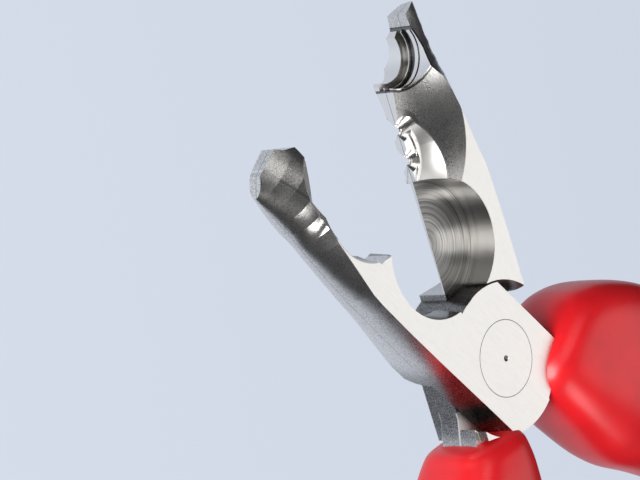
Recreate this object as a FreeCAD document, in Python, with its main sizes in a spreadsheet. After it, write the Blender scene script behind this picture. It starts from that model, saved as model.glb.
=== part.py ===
import FreeCAD, Part
import Sketcher
import math
import os

# Electrician's installation pliers, 200 mm class, lying flat with the jaws open.
#
# Frame: +Z is square to the flat joint plates and the origin is on the pivot axis, on the flat
# underside of the head. +Y runs from the pivot to the tips, midway between the two open jaws.
# Both levers are drawn closed, with the line between the jaws along +Y, and each is then turned
# about the pivot by half of the opening. The upper lever has the left jaw and the right handle;
# the lower lever has the right jaw and the left handle.

doc = FreeCAD.newDocument("installation_pliers")

DIMENSIONS = [
    ("HeadThick", 11.4, "thickness of the forged head"),
    ("LapLevel", 6.0, "height of the lap joint between the two half plates"),
    ("LapGap", 0.04, "running gap between the half plates"),
    ("HalfOpening", 16.75, "half of the opening angle shown, in degrees"),
    ("PlateRadius", 12.9, "radius of the round half plates about the pivot"),
    ("ShoulderRadius", 13.25, "radius of the shoulders that clear the half plates"),
    ("BandHalf", 9.6, "half width of the head at the pivot"),
    ("PinDia", 9.0, "shank diameter of the rivet"),
    ("PinHeadDia", 13.0, "diameter of the two flush rivet heads"),
    ("PinHeadDeep", 2.2, "depth of each flush rivet head"),
    ("PinClear", 0.03, "radial running clearance between the rivet and the upper lever"),
    ("PunchDia", 1.1, "diameter of the centre punch mark"),
    ("NoseEnd", 59.8, "distance from the pivot to the end of the nose"),
    ("GripLine", 4.3, "offset of the gripping faces at the tips"),
    ("EdgeLine", -3.6, "offset of the stripping and cutting edges"),
    ("EdgeGap", 0.05, "gap left between the jaws when they are closed"),
    ("LandTop", 50.0, "where the stripping land starts, from the tip side"),
    ("LandEnd", 33.2, "where the stripping land ends, at the cutter"),
    ("DishRadius", 28.8, "radius of the round dish ground into each jaw"),
    ("DishHeight", 23.7, "height of the dish centre above the face of the head"),
    ("HollowRadius", 12.8, "radius of the smooth hollow ground round the stripping notches"),
    ("HollowHeight", 5.9, "height of the centre of that hollow above the face of the head"),
    ("HollowSide", 4.6, "distance of its centre beyond the stripping edge"),
    ("HollowAlong", 38.6, "distance of its centre from the pivot"),
    ("HollowCut", 53.6, "angle below the level at which the bottom of the hollow is flat"),
    ("UpperHollowRadius", 9.44, "radius of the ball that grinds the upper jaw's steeper hollow"),
    ("UpperHollowHeight", 1.6, "height of its centre over the face"),
    ("UpperNotchWide", 1.5, "radius of the upper jaw's stripping notches where they open out"),
    ("DiscRadius", 6.7, "radius of the milled disc in the bottom of the hollow"),
    ("DiscDeep", 4.65, "depth of that disc below the face"),
    ("NotchSmall", 0.75, "radius of a stripping notch at its cutting edge"),
    ("NotchWide", 3.4, "radius of a stripping notch where its cones end"),
    ("NotchDeep", 2.4, "height of each cone of a stripping notch"),
    ("PipeRadius", 4.5, "radius of the round pipe grip in the lower jaw, on its narrow side"),
    ("BladeRelief", 45.0, "angle of the relief under the straight blade, in degrees"),
    ("BladeLand", 0.6, "height of the land at the cutting edge of the straight blade"),
    ("PocketRadius", 10.85, "radius of the round pocket behind the straight blade"),
    ("ThroatTop", 10.95, "radius of the cable notch at the face"),
    ("ThroatEdge", 10.3, "radius of the cable notch at its cutting edge"),
    ("TangDrop", 1.9, "step from the face of the head down to the tang"),
    ("LayerThick", 1.3, "thickness of the inner insulating layer"),
    ("InlayWide", 9.0, "width of the soft inlay"),
    ("InlayStart", -52.0, "where the soft inlay starts along the handle"),
    ("InlayEnd", -116.0, "where the soft inlay ends along the handle"),
]

sheet = doc.addObject("Spreadsheet::Sheet", "Dimensions")
for row, (alias, value, note) in enumerate(DIMENSIONS, start=1):
    sheet.set("A%d" % row, note)
    sheet.set("B%d" % row, str(value))
    sheet.setAlias("B%d" % row, alias)
doc.recompute()


def dim(alias):
    """The value of one driving dimension."""
    return float(sheet.get(alias))


def bind(obj, **expressions):
    """Tie properties of an object to the driving dimensions."""
    for name, expression in expressions.items():
        obj.setExpression(name.replace("__", "."), expression)
    return obj


def ref(text):
    """Write @Name for a driving dimension inside an expression."""
    return text.replace("@", "<<Dimensions>>.")


LEFT, RIGHT = -1, 1
MIDDLE = dim("HeadThick") / 2


def point(x, y, z=0.0):
    return FreeCAD.Vector(x, y, z)


def line(start, end):
    return Part.LineSegment(point(*start), point(*end))


class Bend:
    """An arc through three points that remembers which end it starts from."""

    def __init__(self, start, through, end):
        self.StartPoint = point(*start)
        self.EndPoint = point(*end)
        self.curve = Part.Arc(self.StartPoint, point(*through), self.EndPoint)


def arc(start, through, end):
    return Bend(start, through, end)


def origin_plane(body, role):
    """One of the body's own origin planes."""
    return [item for item in body.Origin.OriginFeatures if item.Role == role][0]


def add_closed_outline(sketch, pieces):
    """Put the pieces in the sketch and join each one's end to the next one's start."""
    for piece in pieces:
        sketch.addGeometry(getattr(piece, "curve", piece), False)

    def vertex(index, wanted):
        near = sketch.getPoint(index, 1).distanceToPoint(wanted) < 1e-6
        return 1 if near else 2

    for index, piece in enumerate(pieces):
        following = (index + 1) % len(pieces)
        corner = piece.EndPoint
        sketch.addConstraint(Sketcher.Constraint(
            "Coincident", index, vertex(index, corner), following, vertex(following, corner)))


def sketch_on_floor(body, name, pieces, lift=None):
    """A closed outline on the body's XY plane, lifted by an expression if one is given."""
    sketch = body.newObject("Sketcher::SketchObject", name)
    sketch.AttachmentSupport = [(origin_plane(body, "XY_Plane"), "")]
    sketch.MapMode = "FlatFace"
    add_closed_outline(sketch, pieces)
    if lift:
        sketch.setExpression("AttachmentOffset.Base.z", ref(lift))
    return sketch


def pad(body, name, sketch, length):
    feature = body.newObject("PartDesign::Pad", name)
    feature.Profile = sketch
    bind(feature, Length=ref(length))
    return feature


def on_circle(radius, degrees):
    """Point on a circle about the pivot, the angle counted from +X."""
    angle = math.radians(degrees)
    return (radius * math.cos(angle), radius * math.sin(angle))


def mirrored(points, side):
    return [(side * x, y) for x, y in points]


# ---- levers ------------------------------------------------------------------------------

def plate_pieces(side, inner):
    """Plan outline of a lever's head.

    side is the side of the jaw. inner holds the pieces of the jaw's inner edge, from the plate
    out to the tip; the rest is the same on both levers.
    """
    band, radius = dim("BandHalf"), dim("PlateRadius")
    corner = math.degrees(math.acos(band / radius))
    wide = band + 3.0
    root = inner[0].StartPoint
    tip = inner[-1].EndPoint
    root_angle = math.degrees(math.atan2(root.y, -side * root.x))
    half_way = (corner + root_angle) / 2
    upper_corner = mirrored([on_circle(radius, corner)], -side)[0]
    upper_middle = mirrored([on_circle(radius, half_way)], -side)[0]
    tang_corner = mirrored([(band, -10.8)], -side)[0]
    tang_inner = mirrored([(0.3, -12.6)], -side)[0]
    low_start = mirrored([on_circle(radius, -90.0)], side)[0]
    low_middle = mirrored([on_circle(radius, -63.0)], side)[0]
    low_end = mirrored([on_circle(radius, -36.0)], side)[0]
    outer_low = (side * wide, low_end[1])
    outer_tip = (side * wide, tip.y)
    return inner + [
        line((tip.x, tip.y), outer_tip),
        line(outer_tip, outer_low),
        line(outer_low, low_end),
        arc(low_end, low_middle, low_start),
        line(low_start, tang_inner),
        line(tang_inner, tang_corner),
        line(tang_corner, upper_corner),
        arc(upper_corner, upper_middle, (root.x, root.y)),
    ]


def tang_points(side):
    """Outer and inner edge of the steel tang inside a handle, from the head to its end."""
    outer = [(9.6, -7.0), (12.0, -15.0), (17.6, -28.0), (21.6, -44.0), (22.4, -60.0), (21.6, -118.0)]
    inner = [(15.6, -118.0), (15.4, -60.0), (13.9, -44.0), (9.4, -30.0), (3.6, -18.0), (0.6, -10.5)]
    return mirrored(outer + inner, side)


def ring_of_lines(points):
    pieces = []
    for index, start in enumerate(points):
        pieces.append(line(start, points[(index + 1) % len(points)]))
    return pieces


def between(stations, y):
    """Values at y, falling evenly between the stations, whose first number is y."""
    for low, high in zip(stations, stations[1:]):
        if low[0] <= y <= high[0]:
            share = (y - low[0]) / (high[0] - low[0])
            return [a + share * (b - a) for a, b in zip(low[1:], high[1:])]


# y, half width of a jaw at mid height, drop of its flank at the face, and drop at the underside
LOWER_FLANK = [
    (-15.0, 10.4, 1.0, 0.8),
    (0.0, 10.6, 1.3, 0.8),
    (13.0, 10.6, 1.3, 0.9),
    (22.0, 10.3, 1.1, 2.0),
    (31.0, 10.0, 1.1, 3.2),
    (38.0, 9.75, 2.2, 4.2),
    (44.0, 9.5, 2.9, 5.0),
    (48.0, 9.4, 4.2, 6.5),
    (52.0, 9.3, 9.0, 11.0),
    (55.0, 9.2, 17.0, 18.0),
    (58.0, 9.0, 28.0, 28.0),
    (63.0, 8.5, 42.0, 42.0),
]
UPPER_FLANK = LOWER_FLANK[:5] + [
    (38.0, 9.45, 2.2, 4.2),
    (44.0, 8.9, 3.0, 5.2),
    (48.0, 8.4, 5.0, 7.0),
    (52.0, 8.0, 8.0, 10.0),
    (55.0, 7.8, 12.0, 14.0),
    (58.0, 7.5, 18.0, 20.0),
    (63.0, 7.0, 26.0, 28.0),
]
# y, share of the round nose section in the upper jaw, half thickness of that section
UPPER_NOSE = [
    (-15.0, 0.0, 9.0),
    (45.5, 0.0, 9.0),
    (51.0, 1.0, 5.4),
    (53.75, 1.0, 4.4),
    (56.5, 1.0, 3.0),
    (59.25, 1.0, 1.4),
    (63.0, 1.0, 0.9),
]


def flank_point(side, y, step):
    """One point of the flank's section: step runs from -6 on the underside to 6 on the face.

    Along the jaw the flank is a parabola, x = half width - drop * (height / half thickness)^2.
    Towards the nose of the upper jaw it turns into an ellipse that closes over the top.
    """
    half, drop_face, drop_below = between(LOWER_FLANK if side == RIGHT else UPPER_FLANK, y)
    reach = MIDDLE + 0.4
    z = MIDDLE + step / 6.0 * reach
    drop = drop_face if step > 0 else drop_below
    x = half - drop * ((z - MIDDLE) / MIDDLE) ** 2
    if side == LEFT:
        share, thick = between(UPPER_NOSE, y)
        angle = math.radians(146.0) * step / 6.0
        middle = 1.2
        round_x = middle + (half - middle) * math.cos(angle)
        round_z = MIDDLE + thick * math.sin(angle)
        x = x + share * (round_x - x)
        z = z + share * (round_z - z)
    return point(side * x, y, z)


def flank_cutter(name, side):
    """Everything outside the rounded flank of one jaw, lofted through upright sections."""
    outside = 26.0
    over = dim("HeadThick") + 1.5
    under = -1.5
    wires = []
    for number in range(29):
        y = -15.0 + 2.75 * number
        curve = [flank_point(side, y, step) for step in range(-6, 7)]
        spline = Part.BSplineCurve()
        spline.interpolate(curve)
        low, high = curve[0], curve[-1]
        corners = [
            high,
            point(high.x - side * 0.6, y, over),
            point(side * outside, y, over),
            point(side * outside, y, under),
            point(low.x - side * 0.6, y, under),
            low,
        ]
        edges = [spline.toShape()]
        for start, end in zip(corners, corners[1:]):
            edges.append(Part.LineSegment(start, end).toShape())
        wires.append(Part.Wire(edges))
    cutter = doc.addObject("Part::Feature", name)
    cutter.Shape = Part.makeLoft(wires, True, True)
    return cutter


def cylinder(name, x, y, radius, z, height):
    obj = doc.addObject("Part::Cylinder", name)
    obj.Placement.Base = point(x, y, 0)
    bind(obj, Radius=ref(radius), Height=ref(height))
    obj.setExpression("Placement.Base.z", ref(z))
    return obj


def cone(name, x, y, low, high, z, height):
    obj = doc.addObject("Part::Cone", name)
    obj.Placement.Base = point(x, y, 0)
    bind(obj, Radius1=ref(low), Radius2=ref(high), Height=ref(height))
    obj.setExpression("Placement.Base.z", ref(z))
    return obj


def dishes(prefix, x, y):
    """The round dish ground into the jaw from both faces."""
    tools = []
    for face, height in (("face", "@HeadThick + @DishHeight"), ("under", "-@DishHeight")):
        ball = doc.addObject("Part::Sphere", prefix + "_dish_" + face)
        ball.Placement.Base = point(x, y, 0)
        bind(ball, Radius=ref("@DishRadius"))
        ball.setExpression("Placement.Base.z", ref(height))
        tools.append(ball)
    return tools


def hollows(prefix, side):
    """The smooth round hollow at the stripping notches, flat at its bottom, from both faces."""
    x = dim("EdgeLine") - side * dim("HollowSide")
    y = dim("HollowAlong")
    tools = []
    for face, height in (("face", "@HeadThick + @HollowHeight"), ("under", "-@HollowHeight")):
        ball = doc.addObject("Part::Sphere", prefix + "_hollow_" + face)
        ball.Placement.Base = point(x, y, 0)
        bind(ball, Radius=ref("@HollowRadius"))
        ball.setExpression("Placement.Base.z", ref(height))
        if face == "face":
            bind(ball, Angle1=ref("-@HollowCut * 1 deg"))
        else:
            bind(ball, Angle2=ref("@HollowCut * 1 deg"))
        tools.append(ball)
    tools.append(cylinder(prefix + "_disc_face", x, y, "@DiscRadius",
                          "@HeadThick - @DiscDeep", "@DiscDeep + 1"))
    tools.append(cylinder(prefix + "_disc_under", x, y, "@DiscRadius", "-1", "@DiscDeep + 1"))
    return tools


def upper_hollows(x, y):
    """The steeper round hollow of the upper jaw, ground from both faces down to the thin land."""
    tools = []
    for face, height in (("face", "@HeadThick + @UpperHollowHeight"), ("under", "-@UpperHollowHeight")):
        ball = doc.addObject("Part::Sphere", "upper_hollow_" + face)
        ball.Placement.Base = point(x, y, 0)
        bind(ball, Radius=ref("@UpperHollowRadius"))
        ball.setExpression("Placement.Base.z", ref(height))
        tools.append(ball)
    return tools


def stripping_notches(prefix, wide):
    """Two notches with a narrow cutting edge at mid height, opened out towards both faces."""
    tools = []
    for number, along in enumerate((42.3, 37.0), start=1):
        name = "%s_notch_%d_" % (prefix, number)
        centre = dim("EdgeLine")
        tools.append(cone(name + "over", centre, along, "@NotchSmall", wide,
                          "@HeadThick / 2", "@NotchDeep"))
        tools.append(cone(name + "below", centre, along, wide, "@NotchSmall",
                          "@HeadThick / 2 - @NotchDeep", "@NotchDeep"))
    return tools


def pipe_grip(x, y):
    """Stepped round pipe grip of the lower jaw: smooth and narrow below, with grooves above."""
    rings = [
        ("narrow", 0.0, "-1", "6"),
        ("groove_1", 1.3, "4.8", "0.95"),
        ("ridge_1", 0.85, "5.7", "0.3"),
        ("groove_2", 1.4, "5.95", "1.1"),
        ("ridge_2", 1.05, "7.0", "0.85"),
        ("groove_3", 1.35, "7.8", "0.25"),
        ("wide", 1.15, "8", "@HeadThick - 7"),
    ]
    return [cylinder("lower_pipe_" + name, x, y, "@PipeRadius + %g" % extra, z, height)
            for name, extra, z, height in rings]


def cut_all(name, base, tools):
    """Cut the tools from the base one after another; the last cut carries the piece's name."""
    for number, tool in enumerate(tools, start=1):
        last = number == len(tools)
        base = cut(name if last else "%s_cut_%d" % (name, number), base, tool)
    return base


def fuse(name, tools):
    joined = doc.addObject("Part::MultiFuse", name)
    joined.Shapes = tools
    return joined


def cut(name, base, tool, label=None):
    result = doc.addObject("Part::Cut", name)
    result.Base = base
    result.Tool = tool
    result.Label = label or name
    return result


def lever_blank(name, side, inner):
    """Pad of the head's outline with the thinner tang behind it."""
    body = doc.addObject("PartDesign::Body", name + "_blank")
    head = sketch_on_floor(body, name + "_head_outline", plate_pieces(side, inner))
    pad(body, name + "_head", head, "@HeadThick")
    tang = sketch_on_floor(body, name + "_tang_outline", ring_of_lines(tang_points(-side)), "@TangDrop")
    pad(body, name + "_tang", tang, "@HeadThick - 2 * @TangDrop")
    return body


def turn(obj, side):
    """Open one lever's piece about the pivot: the left jaw turns to the left."""
    obj.Placement = FreeCAD.Placement(point(0, 0, 0), FreeCAD.Rotation(point(0, 0, 1), 0))
    obj.setExpression("Placement.Rotation.Angle", ref("%d * @HalfOpening * 1 deg" % (-side)))
    return obj


half_gap = dim("EdgeGap") / 2
land_top, land_end = dim("LandTop"), dim("LandEnd")
nose_end = dim("NoseEnd")

# Lower lever: the right jaw. Straight blade edge, stripping land, pipe grip and gripping tip.
low_edge = dim("EdgeLine") + half_gap
low_grip = dim("GripLine") + half_gap
blade_root = (-4.0, 12.26)
lower_inner = [
    line(blade_root, (low_edge, land_end)),
    line((low_edge, land_end), (low_edge, land_top)),
    line((low_edge, land_top), (low_grip, 57.2)),
    line((low_grip, 57.2), (low_grip, nose_end)),
    line((low_grip, nose_end), (low_grip + 3.0, nose_end + 1.0)),
]
lower_blank = lever_blank("lower", RIGHT, lower_inner)

# Upper lever: the left jaw. Hooked cable notch, stripping land and a blunt half-round nose.
up_edge = dim("EdgeLine") - half_gap
upper_inner = [
    line((0.3, 12.9), (0.9, 31.2)),
    line((0.9, 31.2), (up_edge, land_end - 0.2)),
    line((up_edge, land_end - 0.2), (up_edge, land_top + 0.3)),
    line((up_edge, land_top + 0.3), (-3.1, land_top + 0.55)),
    arc((-3.1, land_top + 0.55), (0.2, 52.2), (3.0, 56.4)),
    line((3.0, 56.4), (1.3, 57.9)),
    line((1.3, 57.9), (0.6, 59.2)),
    line((0.6, 59.2), (-4.6, 59.2)),
    line((-4.6, 59.2), (-7.9, 57.0)),
]
upper_blank = lever_blank("upper", LEFT, upper_inner)


def blade_relief():
    """Sloping block that clears the underside of the straight blade up to its edge."""
    block = doc.addObject("Part::Box", "lower_blade_relief")
    bind(block, Length="30", Width=ref("@LandEnd - 13.6"), Height="14")
    slope = math.radians(dim("BladeRelief"))
    edge = dim("LapLevel") - dim("BladeLand")
    start = point(dim("EdgeLine") - 0.05, 13.4, edge)
    along_slope = point(math.cos(slope), 0, -math.sin(slope))
    below = point(-math.sin(slope), 0, -math.cos(slope))
    block.Placement = FreeCAD.Placement(start - along_slope * 15 + below * 14,
                                        FreeCAD.Rotation(point(0, 1, 0), dim("BladeRelief")))
    return block


def lower_lever():
    tools = dishes("lower", -9.4, 42.8) + hollows("lower", RIGHT)
    tools += stripping_notches("lower", "@NotchWide")
    tools += pipe_grip(-0.8, 54.4)
    tools.append(cylinder("lower_lap", 0, 0, "@ShoulderRadius", "@LapLevel - @LapGap / 2", "@HeadThick"))
    tools.append(cylinder("lower_pocket", -4.8, 22.6, "@PocketRadius",
                          "@LapLevel - @LapGap / 2", "@HeadThick"))
    tools.append(blade_relief())
    tools.append(cylinder("lower_bore", 0, 0, "@PinDia / 2", "-1", "@HeadThick + 2"))
    tools.append(cylinder("lower_seat", 0, 0, "@PinHeadDia / 2", "-1", "@PinHeadDeep + 1"))
    tools.append(flank_cutter("lower_flank", RIGHT))
    lever = cut_all("lower_lever", lower_blank, tools)
    return turn(lever, RIGHT)


def upper_lever():
    tools = dishes("upper", 10.4, 45.3) + upper_hollows(3.0, 40.2)
    tools += stripping_notches("upper", "@UpperNotchWide")
    tools.append(cylinder("upper_lap", 0, 0, "@ShoulderRadius", "-1", "@LapLevel + @LapGap / 2 + 1"))
    tools.append(cone("upper_throat", 5.45, 23.1, "@ThroatEdge", "@ThroatTop",
                      "@LapLevel", "@HeadThick - @LapLevel"))
    relief = doc.addObject("Part::Box", "upper_relief")
    relief.Placement.Base = point(-4.6, 8.0, -1.0)
    bind(relief, Height=ref("@LapLevel + @LapGap / 2 + 1"), Width=ref("@LandEnd + 0.3 - 8"), Length="30")
    tools.append(relief)
    tools.append(cylinder("upper_bore", 0, 0, "@PinDia / 2 + @PinClear", "-1", "@HeadThick + 2"))
    tools.append(cylinder("upper_seat", 0, 0, "@PinHeadDia / 2 + @PinClear",
                          "@HeadThick - @PinHeadDeep - @PinClear", "@PinHeadDeep + 1"))
    tools.append(flank_cutter("upper_flank", LEFT))
    lever = cut_all("upper_lever", upper_blank, tools)
    return turn(lever, LEFT)


# ---- rivet -------------------------------------------------------------------------------

def rivet():
    """Solid rivet with a flush round head at each end and a centre punch mark in the upper one."""
    shank = cylinder("rivet_shank", 0, 0, "@PinDia / 2", "0", "@HeadThick")
    low = cylinder("rivet_low_head", 0, 0, "@PinHeadDia / 2", "0", "@PinHeadDeep")
    high = cylinder("rivet_high_head", 0, 0, "@PinHeadDia / 2", "@HeadThick - @PinHeadDeep", "@PinHeadDeep")
    solid = fuse("rivet_solid", [shank, low, high])
    mark = cone("rivet_mark", 0, 0, "0", "@PunchDia / 2", "@HeadThick - 0.6", "0.6")
    return turn(cut("rivet", solid, mark), RIGHT)


# ---- handles -----------------------------------------------------------------------------

def grip_stations(side):
    """Oval sections of a grip: y, centre x, half width, half thickness.

    The collar of the lower grip starts a little further back than that of the upper one.
    """
    collar = [
        (-8.0, 10.6, 7.6, 7.2),
        (-10.0, 11.3, 9.8, 8.4),
        (-13.0, 12.6, 12.0, 9.3),
        (-17.0, 14.1, 13.7, 10.0),
        (-22.0, 15.6, 15.2, 10.3),
        (-27.0, 16.7, 16.3, 10.4),
        (-32.0, 17.1, 16.6, 10.3),
        (-37.0, 17.1, 15.6, 9.9),
        (-43.0, 17.3, 13.0, 9.2),
        (-50.0, 18.0, 11.0, 8.8),
    ] if side == RIGHT else [
        (-11.6, 8.6, 7.4, 7.2),
        (-13.5, 8.9, 8.4, 8.2),
        (-17.0, 10.4, 10.0, 9.2),
        (-22.0, 12.9, 12.5, 10.0),
        (-27.0, 15.1, 14.7, 10.4),
        (-32.0, 16.4, 15.9, 10.4),
        (-37.0, 16.8, 15.4, 10.0),
        (-43.0, 17.2, 13.0, 9.3),
        (-50.0, 18.0, 11.0, 8.8),
    ]
    handle = [
        (-60.0, 18.7, 10.3, 8.8),
        (-72.0, 19.0, 10.3, 8.8),
        (-84.0, 19.0, 10.3, 8.8),
        (-96.0, 18.8, 10.1, 8.6),
        (-108.0, 18.3, 9.8, 8.4),
        (-120.0, 17.6, 9.4, 8.1),
        (-129.0, 17.0, 8.9, 7.7),
        (-134.0, 16.6, 7.9, 6.9),
        (-137.0, 16.3, 6.0, 5.3),
        (-138.6, 16.1, 3.2, 2.8),
    ]
    return [(y, side * x, wide, thick) for y, x, wide, thick in collar + handle]


def grip_solid(name, side):
    """Outer shape of one grip, lofted through its oval sections."""
    wires = []
    for y, x, wide, thick in grip_stations(side):
        oval = Part.Ellipse(point(0, 0, 0), wide, thick)
        edge = oval.toShape()
        edge.rotate(point(0, 0, 0), point(1, 0, 0), 90)
        edge.translate(point(x, y, MIDDLE))
        wires.append(Part.Wire([edge]))
    solid = doc.addObject("Part::Feature", name)
    solid.Shape = Part.makeLoft(wires, True, False)
    return solid


def layer_blank(name, side):
    """Block of the inner insulating layer round the tang, from the collar to past its end."""
    wall = dim("LayerThick")
    outer = [(14.6, -17.5), (19.0, -27.6), (23.0, -44.0), (23.8, -60.0), (23.0, -119.6)]
    inner = [(14.2, -119.6), (14.0, -60.0), (12.5, -44.6), (8.2, -30.8), (3.9, -21.8)]
    body = doc.addObject("PartDesign::Body", name + "_block")
    sketch = sketch_on_floor(body, name + "_outline", ring_of_lines(mirrored(outer + inner, side)),
                             "@TangDrop - @LayerThick")
    pad(body, name + "_pad", sketch, "@HeadThick - 2 * @TangDrop + 2 * @LayerThick")
    return body


def tang_solid(name, side):
    """A copy of the tang's outline, to hollow the pieces that sit on it."""
    body = doc.addObject("PartDesign::Body", name)
    sketch = sketch_on_floor(body, name + "_outline", ring_of_lines(tang_points(side)), "@TangDrop")
    pad(body, name + "_pad", sketch, "@HeadThick - 2 * @TangDrop")
    return body


def inlay_block(name, side):
    """Rounded bar that marks out the soft inlay on the outer side of the grip."""
    outside = 26.5
    wide = dim("InlayWide") / 2
    body = doc.addObject("PartDesign::Body", name)
    sketch = body.newObject("Sketcher::SketchObject", name + "_outline")
    sketch.AttachmentSupport = [(origin_plane(body, "YZ_Plane"), "")]
    sketch.MapMode = "FlatFace"
    start, end = dim("InlayStart") - wide, dim("InlayEnd") + wide
    pieces = [
        line((start, MIDDLE + wide), (end, MIDDLE + wide)),
        arc((end, MIDDLE + wide), (end - wide, MIDDLE), (end, MIDDLE - wide)),
        line((end, MIDDLE - wide), (start, MIDDLE - wide)),
        arc((start, MIDDLE - wide), (start + wide, MIDDLE), (start, MIDDLE + wide)),
    ]
    add_closed_outline(sketch, pieces)
    sketch.setExpression("AttachmentOffset.Base.z", ref("%g" % (side * outside)))
    feature = body.newObject("PartDesign::Pad", name + "_pad")
    feature.Profile = sketch
    feature.Length = 8.0
    feature.Reversed = side < 0
    return body


def handle(prefix, side):
    """The pieces moulded on one tang: inner layer, grip and soft inlay."""
    grip_outer = grip_solid(prefix + "_grip_outer", side)
    block = layer_blank(prefix + "_layer", side)
    tang = tang_solid(prefix + "_tang_core", side)
    bar = inlay_block(prefix + "_inlay_bar", side)
    front = cylinder(prefix + "_front_clear", 0, 0, "@ShoulderRadius + 0.3", "-20", "50")
    layer = cut(prefix + "_inner_layer", block, tang)
    inlay = doc.addObject("Part::Common", prefix + "_soft_inlay")
    inlay.Base = grip_outer
    inlay.Tool = bar
    inlay.Label = prefix + "_soft_inlay"
    grip = cut_all(prefix + "_grip", grip_outer, [block, tang, bar, front])
    jaw_side = -side
    return [turn(piece, jaw_side) for piece in (layer, grip, inlay)]


nodes = [lower_lever(), upper_lever(), rivet()]
nodes += handle("upper", RIGHT)
nodes += handle("lower", LEFT)
doc.recompute()

# ---- checks and files --------------------------------------------------------------------

for obj in doc.Objects:
    if "Invalid" in obj.State or "Error" in obj.State:
        raise RuntimeError("%s did not recompute: %s" % (obj.Label, obj.State))
for node in nodes:
    if node.Shape.isNull() or not node.Shape.isValid():
        raise RuntimeError("bad shape: " + node.Label)

os.makedirs("parts", exist_ok=True)
for node in nodes:
    node.Shape.exportStep("parts/%s.step" % node.Label)
    box = node.Shape.BoundBox
    print("%-20s solids %d volume %9.1f  x %7.2f %7.2f  y %7.2f %7.2f  z %6.2f %6.2f" % (
        node.Label, len(node.Shape.Solids), node.Shape.Volume,
        box.XMin, box.XMax, box.YMin, box.YMax, box.ZMin, box.ZMax))
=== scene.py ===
import math

import bpy
import numpy as np
from mathutils import Matrix, Vector


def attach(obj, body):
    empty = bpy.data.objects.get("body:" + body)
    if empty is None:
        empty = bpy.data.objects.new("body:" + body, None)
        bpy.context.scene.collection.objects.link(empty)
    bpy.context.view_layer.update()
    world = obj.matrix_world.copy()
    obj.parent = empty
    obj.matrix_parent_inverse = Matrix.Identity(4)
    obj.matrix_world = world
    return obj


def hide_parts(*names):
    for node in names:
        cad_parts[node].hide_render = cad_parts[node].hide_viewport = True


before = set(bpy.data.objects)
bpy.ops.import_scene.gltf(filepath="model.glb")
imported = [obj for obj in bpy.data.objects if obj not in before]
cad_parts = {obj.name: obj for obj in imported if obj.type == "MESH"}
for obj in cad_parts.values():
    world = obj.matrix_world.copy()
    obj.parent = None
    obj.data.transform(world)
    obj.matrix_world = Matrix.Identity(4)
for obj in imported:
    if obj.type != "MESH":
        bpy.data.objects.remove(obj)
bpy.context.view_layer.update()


# ---- camera ----------------------------------------------------------------------------------
# The camera looks down on the head from the side of the left jaw, 45 degrees off the face of the
# plates, from half a metre away through a long lens. It is rolled a little, and turned so that
# the line between the jaws points up and to the left.
HEAD_FACE = 0.0114
tilt, roll, turn = math.radians(44.64), math.radians(-3.44), math.radians(36.0)
along = Vector((math.sin(roll), math.cos(roll), 0))
level = Vector((math.cos(roll), -math.sin(roll), 0))
back = Vector((0, 0, 1))
face_normal = level * math.sin(tilt) + back * math.cos(tilt)
across = level * math.cos(tilt) - back * math.sin(tilt)
x_axis = across * math.cos(turn) + along * math.sin(turn)
y_axis = along * math.cos(turn) - across * math.sin(turn)
aim = Matrix((x_axis, y_axis, face_normal))
eye = Vector((0, 0, HEAD_FACE)) - aim @ Vector((0.03114, -0.01979, -0.5017))
lens = bpy.data.cameras.new("camera")
lens.lens = 168.75
lens.sensor_width = 36.0
lens.sensor_fit = "HORIZONTAL"
lens.clip_start = 0.01
camera = bpy.data.objects.new("camera", lens)
camera.matrix_world = Matrix.Translation(eye) @ aim.to_4x4()
bpy.context.collection.objects.link(camera)
bpy.context.scene.camera = camera
bpy.context.scene.view_settings.view_transform = "Standard"


# ---- floor and light -------------------------------------------------------------------------
# A pale sheet that glows evenly hangs below the tool, so that no shadow shows on it. Large soft
# boxes face the flat faces, the nose, the hollow and the grips. What the steel mirrors overhead and
# level with it stays dim, which draws its dark bands; a view past the sheet meets a pale backdrop.

# Every finish below is a node material. Value wraps one socket, so that masks and bumps are
# written as sums, and Finish adds any other node from its type, settings and sockets.
class Value:
    """One number, colour or vector inside a finish."""

    def __init__(self, finish, socket):
        self.finish = finish
        self.socket = socket

    def math(self, operation, *others):
        values = dict(enumerate((self,) + others))
        return self.finish.node("ShaderNodeMath", {"operation": operation}, values)

    def __add__(self, other):
        return self.math("ADD", other)

    __radd__ = __add__

    def __mul__(self, other):
        return self.math("MULTIPLY", other)

    __rmul__ = __mul__

    def __sub__(self, other):
        return self.math("SUBTRACT", other)

    def __rsub__(self, other):
        return self * -1.0 + other

    def __pow__(self, other):
        return self.math("POWER", other)

    def root(self):
        return self.math("SQRT")

    def size(self):
        return self.math("ABSOLUTE")

    def rises(self, start, end):
        """0 below start and 1 above end, easing smoothly between them."""
        settings = {"interpolation_type": "SMOOTHSTEP", "clamp": True}
        sockets = {"Value": self, "From Min": start, "From Max": end}
        return self.finish.node("ShaderNodeMapRange", settings, sockets)

    def near(self, middle, reach):
        """1 within reach of middle, falling to 0 at twice that distance."""
        return 1.0 - (self - middle).size().rises(reach, 2 * reach)


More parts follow.
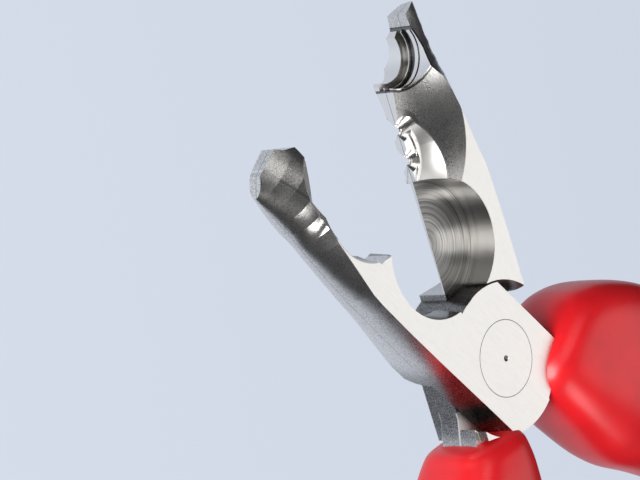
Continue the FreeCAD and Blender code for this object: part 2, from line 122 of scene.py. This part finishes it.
class Finish:
    """A material under construction, with its Principled shader."""

    def __init__(self, name):
        self.material = bpy.data.materials.new(name)
        self.material.use_nodes = True
        self.tree = self.material.node_tree
        self.shader = self.tree.nodes["Principled BSDF"]

    def node(self, kind, settings=None, sockets=None, output=0):
        made = self.tree.nodes.new(kind)
        for name, value in (settings or {}).items():
            setattr(made, name, value)
        for key, value in (sockets or {}).items():
            self.feed(made.inputs[key], value)
        return Value(self, made.outputs[output])

    def feed(self, socket, value):
        if isinstance(value, Value):
            self.tree.links.new(value.socket, socket)
        else:
            socket.default_value = value

    def place(self):
        """The point on the piece, in metres."""
        return self.node("ShaderNodeTexCoord", output="Object")

    def mix(self, amount, first, second):
        """Blend of two colours."""
        return self.node("ShaderNodeMix", {"data_type": "RGBA"}, {"Factor": amount, 6: first, 7: second}, 2)

    def noise(self, vector, scale, detail=2.0, rough=0.5):
        sockets = {"Vector": vector, "Scale": scale, "Detail": detail, "Roughness": rough}
        return self.node("ShaderNodeTexNoise", sockets=sockets)

    def dress(self, **inputs):
        for name, value in inputs.items():
            self.feed(self.shader.inputs[name.replace("_", " ")], value)
        return self.material


floor_drop = 0.30
floor_half = 0.55
floor_middle = Vector((0.12, -0.06, -floor_drop))
corners = floor_half * np.array([(-1, -1, 0), (1, -1, 0), (1, 1, 0), (-1, 1, 0)]) + floor_middle
floor_mesh = bpy.data.meshes.new("floor")
floor_mesh.from_pydata(corners.tolist(), [], [(0, 1, 2, 3)])
floor = bpy.data.objects.new("floor", floor_mesh)
bpy.context.collection.objects.link(floor)
paper = Finish("pale_floor_paper")
fibre = paper.noise(paper.place(), 60.0)
paper.dress(Base_Color=(0.16, 0.17, 0.19, 1), Roughness=fibre * 0.1 + 0.9,
            Emission_Color=(0.62, 0.67, 0.77, 1), Emission_Strength=0.86)
floor_mesh.materials.append(paper.material)


def soft_box(name, direction, distance, width, height, power):
    """A rectangular light that faces the head from the given direction."""
    light = bpy.data.lights.new(name, "AREA")
    light.shape = "RECTANGLE"
    light.size = width
    light.size_y = height
    light.energy = power
    lamp = bpy.data.objects.new(name, light)
    place = Vector(direction).normalized() * distance
    lamp.matrix_world = Matrix.Translation(place) @ place.to_track_quat("Z", "Y").to_matrix().to_4x4()
    bpy.context.collection.objects.link(lamp)


soft_box("box_right", (0.57, -0.41, 0.71), 0.9, 0.62, 0.62, 1.65)
soft_box("box_front", (-0.34, -0.70, 0.66), 0.9, 0.26, 0.50, 2.2)
soft_box("box_back", (0.07, 0.66, 0.75), 0.9, 0.50, 0.40, 1.0)
soft_box("box_left", (-0.80, 0.52, 0.35), 0.8, 0.50, 0.50, 10.0)

world = bpy.data.worlds.new("studio")
bpy.context.scene.world = world
world.use_nodes = True
room = world.node_tree
surroundings = room.nodes["Background"]
surroundings.inputs["Color"].default_value = (0.62, 0.66, 0.74, 1)
surroundings.inputs["Strength"].default_value = 0.05
backdrop = room.nodes.new("ShaderNodeBackground")
backdrop.inputs["Color"].default_value = (0.62, 0.66, 0.76, 1)
backdrop.inputs["Strength"].default_value = 1.0
ray = room.nodes.new("ShaderNodeLightPath")
choice = room.nodes.new("ShaderNodeMixShader")
room.links.new(ray.outputs["Is Camera Ray"], choice.inputs["Fac"])
room.links.new(surroundings.outputs[0], choice.inputs[1])
room.links.new(backdrop.outputs[0], choice.inputs[2])
room.links.new(choice.outputs[0], room.nodes["World Output"].inputs["Surface"])


# ---- levers and rivet ------------------------------------------------------------------------
# Both levers are drop-forged tool steel. Their faces are ground and brushed after riveting, the
# flanks and the large round dishes are blasted, and the hollow at the stripping notches and the
# wall of the cutter pocket are polished. The pocket floor shows the rings of its milling cutter.
HALF_OPENING = math.radians(16.75)
HEAD_THICK = 11.4
TANG_DROP = 1.9
LAP_LEVEL = 5.98
RIVET_RADIUS = 6.5
LAND_LINE = -3.62
STEEL = (0.84, 0.82, 0.79, 1)
DARK_STEEL = (0.06, 0.06, 0.06, 1)


def forged_steel(name, turned, hollow, pocket, pocket_wall_painted_shade, bores, grooves):
    """Finish of one lever. The places are in millimetres on the closed lever, seen from above.

    hollow is the centre and radius of the ball that ground the smooth hollow; a point lies on it
    where its distance from the centre is the radius. pocket is the round cutter pocket's centre and
    radius; painted shade darkens the pocket wall by the amount given with it. bores lists the
    centres and radii of the notches, the disc and the pipe grip, which are smooth, and grooves the
    centre of each set of round grooves and the radius where they begin; painted shade darkens
    these grooves.
    """
    finish = Finish(name)
    spot = finish.node("ShaderNodeMapping", {"vector_type": "POINT"},
                       {"Vector": finish.place(), "Rotation": (0, 0, turned), "Scale": (1000, 1000, 1000)})
    x, y, z = [finish.node("ShaderNodeSeparateXYZ", sockets={0: spot}, output=n) for n in range(3)]
    lift = (z - HEAD_THICK / 2).size()

    def distance(centre):
        return ((x - centre[0]) ** 2 + (y - centre[1]) ** 2).root()

    def within(measure, limit):
        return 1.0 - measure.rises(limit, limit + 0.06)

    # where each kind of surface lies
    tang = lift.near(HEAD_THICK / 2 - TANG_DROP, 0.03).math("MAXIMUM", z.near(5.9, 0.12))
    tang = tang * (1.0 - y.rises(-6.0, -5.5))
    faces = lift.rises(HEAD_THICK / 2 - 0.09, HEAD_THICK / 2 - 0.03).math("MAXIMUM", tang)
    (ball_x, ball_y, ball_lift), ball_radius = hollow
    to_ball = (distance((ball_x, ball_y)) ** 2 + (lift - ball_lift) ** 2).root()
    smooth = to_ball.near(ball_radius, 0.06)
    to_pocket = distance(pocket)
    milled = z.near(LAP_LEVEL, 0.03) * y.rises(13.2, 13.6)
    wall = within(to_pocket, pocket[2]) * y.rises(13.2, 13.6) * (1.0 - faces) * (1.0 - milled)
    land = within((x - LAND_LINE).size(), 0.2) * y.rises(31.0, 31.5)
    for bore in bores:
        land = land.math("MAXIMUM", within(distance(bore), bore[2]))
    # The thin dark line at the rivet head's edge is the joint; below, painted shade darkens the round grooves
    # of the pipe grip.
    joint_line_and_groove_shade = distance((0, 0)).near(RIVET_RADIUS, 0.045) * faces
    for groove in grooves:
        begins = groove[2]
        groove_painted_shade = distance(groove).rises(begins, begins + 0.05) * within(distance(groove), begins + 0.4)
        joint_line_and_groove_shade = joint_line_and_groove_shade + groove_painted_shade * (1.0 - faces)
    ground = faces.math("MAXIMUM", wall).math("MAXIMUM", smooth).math("MAXIMUM", land)
    blasted = 1.0 - ground.math("MAXIMUM", milled)
    # Painted shade: blasted steel within 12 to 18 mm of the pivot is darkened, so the throat between the
    # levers and the rear ends of the flanks read dark.
    pivot_painted_shade = (1.0 - distance((0, 0)).rises(12.0, 18.0)) * blasted

    # blasted grain, brushing and cutter rings
    grain = finish.noise(spot, 5.5, 3.0, 0.75)
    patches = finish.noise(spot, 0.35, 3.0, 0.6)
    brushed = finish.node("ShaderNodeMapping", {"vector_type": "POINT"},
                          {"Vector": spot, "Rotation": (0, 0, math.radians(22)), "Scale": (6.0, 0.25, 0.25)})
    brushing = finish.noise(brushed, 1.3, 4.0, 0.7)
    scratches = finish.noise(brushed, 3.1, 2.0, 0.5)
    rings = finish.noise(finish.node("ShaderNodeCombineXYZ", sockets={0: to_pocket * 3.0, 1: y * 0.05}),
                         1.0, 4.0, 0.7)

    pits = grain.rises(0.34, 0.58)
    shade = 0.95 - (1.0 - pits) * blasted * 0.55 - milled * 0.74 + (rings - 0.5) * milled * 1.1
    # Painted shade: the polished wall of the cutter pocket is darkened by the amount given for each lever,
    # strongly on the upper one.
    shade = shade + (brushing - 0.5) * faces * 0.30 - wall * pocket_wall_painted_shade
    shade = shade - joint_line_and_groove_shade * 0.8 - pivot_painted_shade * 0.65 - smooth * 0.2
    colour = finish.mix(shade + (patches - 0.5) * ground * 0.15, DARK_STEEL, STEEL)
    rough = 0.22 + faces * 0.15 + blasted * 0.06 + milled * 0.15 + smooth * 0.14 + (patches - 0.5) * 0.08
    height = grain * blasted + brushing * faces * 0.16 + rings * milled * 0.9 + scratches * ground * 0.06
    bump = finish.node("ShaderNodeBump", sockets={"Height": height, "Distance": 0.000014, "Strength": 1.0})
    finish.dress(Base_Color=colour, Metallic=1.0, Roughness=rough, Normal=bump)
    return finish.material


def finish_node(name, material):
    """Give a CAD node its finish."""
    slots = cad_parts[name].data.materials
    slots.clear()
    slots.append(material)


lower_steel = forged_steel(
    "lower_lever_steel", HALF_OPENING, hollow=((-8.2, 38.6, 11.6), 12.8), pocket=(-4.8, 22.6, 10.88),
    pocket_wall_painted_shade=0.05, grooves=[(-0.8, 54.4, 5.7)],
    bores=[(-0.8, 54.4, 6.0), (-3.6, 42.3, 3.5), (-3.6, 37.0, 3.5), (-8.2, 38.6, 6.75)])
upper_steel = forged_steel(
    "upper_lever_steel", -HALF_OPENING, hollow=((3.0, 40.2, 7.3), 9.44), pocket=(5.45, 23.1, 11.0),
    pocket_wall_painted_shade=0.62, grooves=[], bores=[(-3.6, 42.3, 1.6), (-3.6, 37.0, 1.6)])
finish_node("lower_lever", lower_steel)
finish_node("upper_lever", upper_steel)
finish_node("rivet", upper_steel)


# ---- inner insulating layers -----------------------------------------------------------------
# A thin first layer of hard dark plastic is moulded on each tang. The grip over it hides it.
# Its finish is a fine moulded grain.
under = Finish("inner_layer_plastic")
under_grain = under.noise(under.place(), 2500.0)
under_bump = under.node("ShaderNodeBump", sockets={"Height": under_grain, "Distance": 0.00001})
under.dress(Base_Color=(0.03, 0.03, 0.035, 1), Roughness=under_grain * 0.1 + 0.45, Normal=under_bump)
finish_node("upper_inner_layer", under.material)
finish_node("lower_inner_layer", under.material)


# ---- grips -----------------------------------------------------------------------------------
# Each grip is glossy red plastic moulded over the inner layer in one piece: a broad guard collar
# in front that keeps the fingers off the steel, a waist behind it, and a long handle with a
# rounded end. Each row below is a section: place along the handle, its middle, half width and
# half thickness, in millimetres on the closed tool.
UPPER_SHAPE = [
    (-7.8, 11.4, 3.0, 2.2), (-8.2, 11.4, 6.0, 5.0), (-9.2, 11.5, 8.4, 7.3), (-10.8, 11.8, 10.3, 8.8),
    (-13.0, 12.6, 12.1, 9.5), (-17.0, 14.1, 13.7, 10.0), (-22.0, 15.6, 15.2, 10.3), (-27.0, 16.7, 16.3, 10.4),
    (-32.0, 17.1, 16.6, 10.3), (-37.0, 17.1, 15.6, 9.9), (-43.0, 17.3, 13.0, 9.2), (-50.0, 18.0, 11.0, 8.8),
]
LOWER_SHAPE = [
    (-11.2, 7.8, 3.4, 2.6), (-11.4, 7.8, 6.4, 5.6), (-12.2, 7.8, 7.3, 7.2), (-13.5, 8.0, 7.8, 8.2),
    (-17.0, 9.6, 9.5, 9.2), (-22.0, 12.5, 12.2, 10.0), (-27.0, 15.1, 14.7, 10.4), (-32.0, 16.4, 15.9, 10.4),
    (-37.0, 16.8, 15.4, 10.0), (-43.0, 17.2, 13.0, 9.3), (-50.0, 18.0, 11.0, 8.8),
]
HANDLE_SHAPE = [
    (-60.0, 18.7, 10.3, 8.8), (-72.0, 19.0, 10.3, 8.8), (-84.0, 19.0, 10.3, 8.8), (-96.0, 18.8, 10.1, 8.6),
    (-108.0, 18.3, 9.8, 8.4), (-120.0, 17.6, 9.4, 8.1), (-129.0, 17.0, 8.9, 7.7), (-134.0, 16.6, 7.9, 6.9),
    (-137.0, 16.3, 6.0, 5.3), (-138.4, 16.1, 3.0, 2.6), (-138.6, 16.1, 0.0, 0.0),
]


def smoothed(stations, y):
    """Centre, half width and half thickness at y: the stations joined by straight lines and then
    averaged over a short bell curve, which is narrow at both ends so that the ends keep their shape."""
    table = np.array(stations)[::-1]
    reach = np.minimum(2.2, 0.02 + 0.25 * np.minimum(y - table[0, 0], table[-1, 0] - y))
    offsets = np.linspace(-2.0, 2.0, 17)
    weights = np.exp(-offsets ** 2)
    weights /= weights.sum()
    where = y[:, None] + reach[:, None] * offsets
    return [np.interp(where, table[:, 0], table[:, n]) @ weights for n in (1, 2, 3)]


def tube_mesh(name, points):
    """A mesh from a grid of points. The rows run along the piece, each row is a closed ring, and a
    fan of triangles about the mean of the first and of the last row closes the ends."""
    rows, around = points.shape[:2]
    index = np.arange(rows * around).reshape(rows, around)
    after = np.roll(index, -1, axis=1)
    quads = np.stack([index[:-1], after[:-1], after[1:], index[1:]], axis=-1).reshape(-1, 4)
    verts = np.vstack([points.reshape(-1, 3), points[0].mean(axis=0), points[-1].mean(axis=0)])
    first, last = rows * around, rows * around + 1
    faces = quads.tolist()
    faces += np.stack([np.full(around, first), after[0], index[0]], axis=-1).tolist()
    faces += np.stack([np.full(around, last), index[-1], after[-1]], axis=-1).tolist()
    mesh = bpy.data.meshes.new(name)
    mesh.from_pydata(verts.tolist(), [], faces)
    mesh.shade_smooth()
    piece = bpy.data.objects.new(name, mesh)
    bpy.context.collection.objects.link(piece)
    return piece


def laid_open(points, side):
    """Turn points given in millimetres on a closed handle to where the open tool has them."""
    angle = side * HALF_OPENING
    x = side * points[..., 0]
    y = points[..., 1]
    turned = np.stack([x * np.cos(angle) - y * np.sin(angle), x * np.sin(angle) + y * np.cos(angle),
                       points[..., 2]], axis=-1)
    return turned / 1000.0


def grip_surface(stations, y, around):
    """Points of a grip: at each y the section is a rounded box, a power curve between an oval and
    a rectangle: (across / half width)^p + (up / half thickness)^p = 1, squarer at the collar."""
    centre, wide, thick = smoothed(stations, y)
    power = 2.0 / (2.25 + 1.0 * np.exp(-((y + 18.0) / 14.0) ** 2))[:, None]
    cosine, sine = np.cos(around)[None, :], np.sin(around)[None, :]
    x = centre[:, None] + wide[:, None] * np.sign(cosine) * np.abs(cosine) ** power
    z = HEAD_THICK / 2 + thick[:, None] * np.sign(sine) * np.abs(sine) ** power
    return np.stack([x, np.broadcast_to(y[:, None], x.shape), z], axis=-1)


def red_plastic(name, tint, gloss):
    """Moulded plastic: a fine grain in the bump and gloss, faint flow marks in colour and bump."""
    finish = Finish(name)
    vector = finish.place()
    grain = finish.noise(vector, 3800.0, 2.0, 0.6)
    flow = finish.noise(vector, 70.0, 3.0, 0.55)
    deep = tuple(0.72 * part for part in tint[:3]) + (1,)
    colour = finish.mix(flow.rises(0.2, 0.8), deep, tint)
    bump = finish.node("ShaderNodeBump", sockets={"Height": grain + flow * 2.0, "Distance": 0.000008})
    finish.dress(Base_Color=colour, Roughness=gloss + (grain - 0.5) * 0.08, Normal=bump)
    return finish.material


grip_red = red_plastic("grip_red_plastic", (0.76, 0.012, 0.018, 1), 0.34)
around = np.linspace(0, 2 * np.pi, 96, endpoint=False)
for name, side, collar in (("upper", 1, UPPER_SHAPE), ("lower", -1, LOWER_SHAPE)):
    stations = collar + HANDLE_SHAPE
    front = stations[0][0]
    y = np.interp(np.linspace(0, 1, 220), [0, 0.16, 0.86, 0.95, 1.0],
                  [front, front - 8, -132.0, -137.4, -138.6])
    points = laid_open(grip_surface(stations, y, around if side > 0 else -around), side)
    grip = tube_mesh(name + "_red_grip", points)
    grip.data.materials.append(grip_red)
    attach(grip, name + "_half")
    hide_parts(name + "_grip")


# ---- soft inlays -----------------------------------------------------------------------------
# A strip of softer rubber-like plastic is moulded into the outer side of each handle, a little
# proud of the hard red, with low cross ribs for the fingers.
inlay_red = red_plastic("inlay_soft_plastic", (0.36, 0.012, 0.016, 1), 0.55)
INLAY_MIDDLE = -84.0
INLAY_HALF = 36.0
along_it = np.linspace(-1, 1, 180)
across_it = np.linspace(-1, 1, 40)
long_way, short_way = np.meshgrid(along_it, across_it, indexing="ij")
for name, side in (("upper", 1), ("lower", -1)):
    y = INLAY_MIDDLE + INLAY_HALF * along_it
    centre, wide, thick = smoothed(HANDLE_SHAPE, y)
    narrowing = np.sqrt(np.clip(1 - np.clip((np.abs(long_way) - 0.87) / 0.13, 0, 1) ** 2, 0, 1))
    angle = short_way * 0.62 * np.maximum(narrowing, 0.02)
    rim = np.maximum(np.abs(short_way), np.clip((np.abs(long_way) - 0.87) / 0.13, 0, 1))
    proud = 0.42 - 1.3 * np.clip((rim - 0.86) / 0.14, 0, 1) ** 2
    proud += 0.16 * np.cos(long_way * np.pi * 16) * (1 - rim ** 6)
    power = 2.0 / 2.25
    x = centre[:, None] + (wide[:, None] + proud) * np.cos(angle) ** power
    z = HEAD_THICK / 2 + (thick[:, None] + proud) * np.sign(angle) * np.abs(np.sin(angle)) ** power
    outer = np.stack([x, np.broadcast_to(y[:, None], x.shape), z], axis=-1)
    inner = outer - np.array([1.6, 0, 0])
    ring = np.concatenate([outer, inner[:, ::-1]], axis=1)
    inlay = tube_mesh(name + "_ribbed_inlay", laid_open(ring[:, ::-1] if side > 0 else ring, side))
    inlay.data.materials.append(inlay_red)
    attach(inlay, name + "_half")
    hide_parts(name + "_soft_inlay")
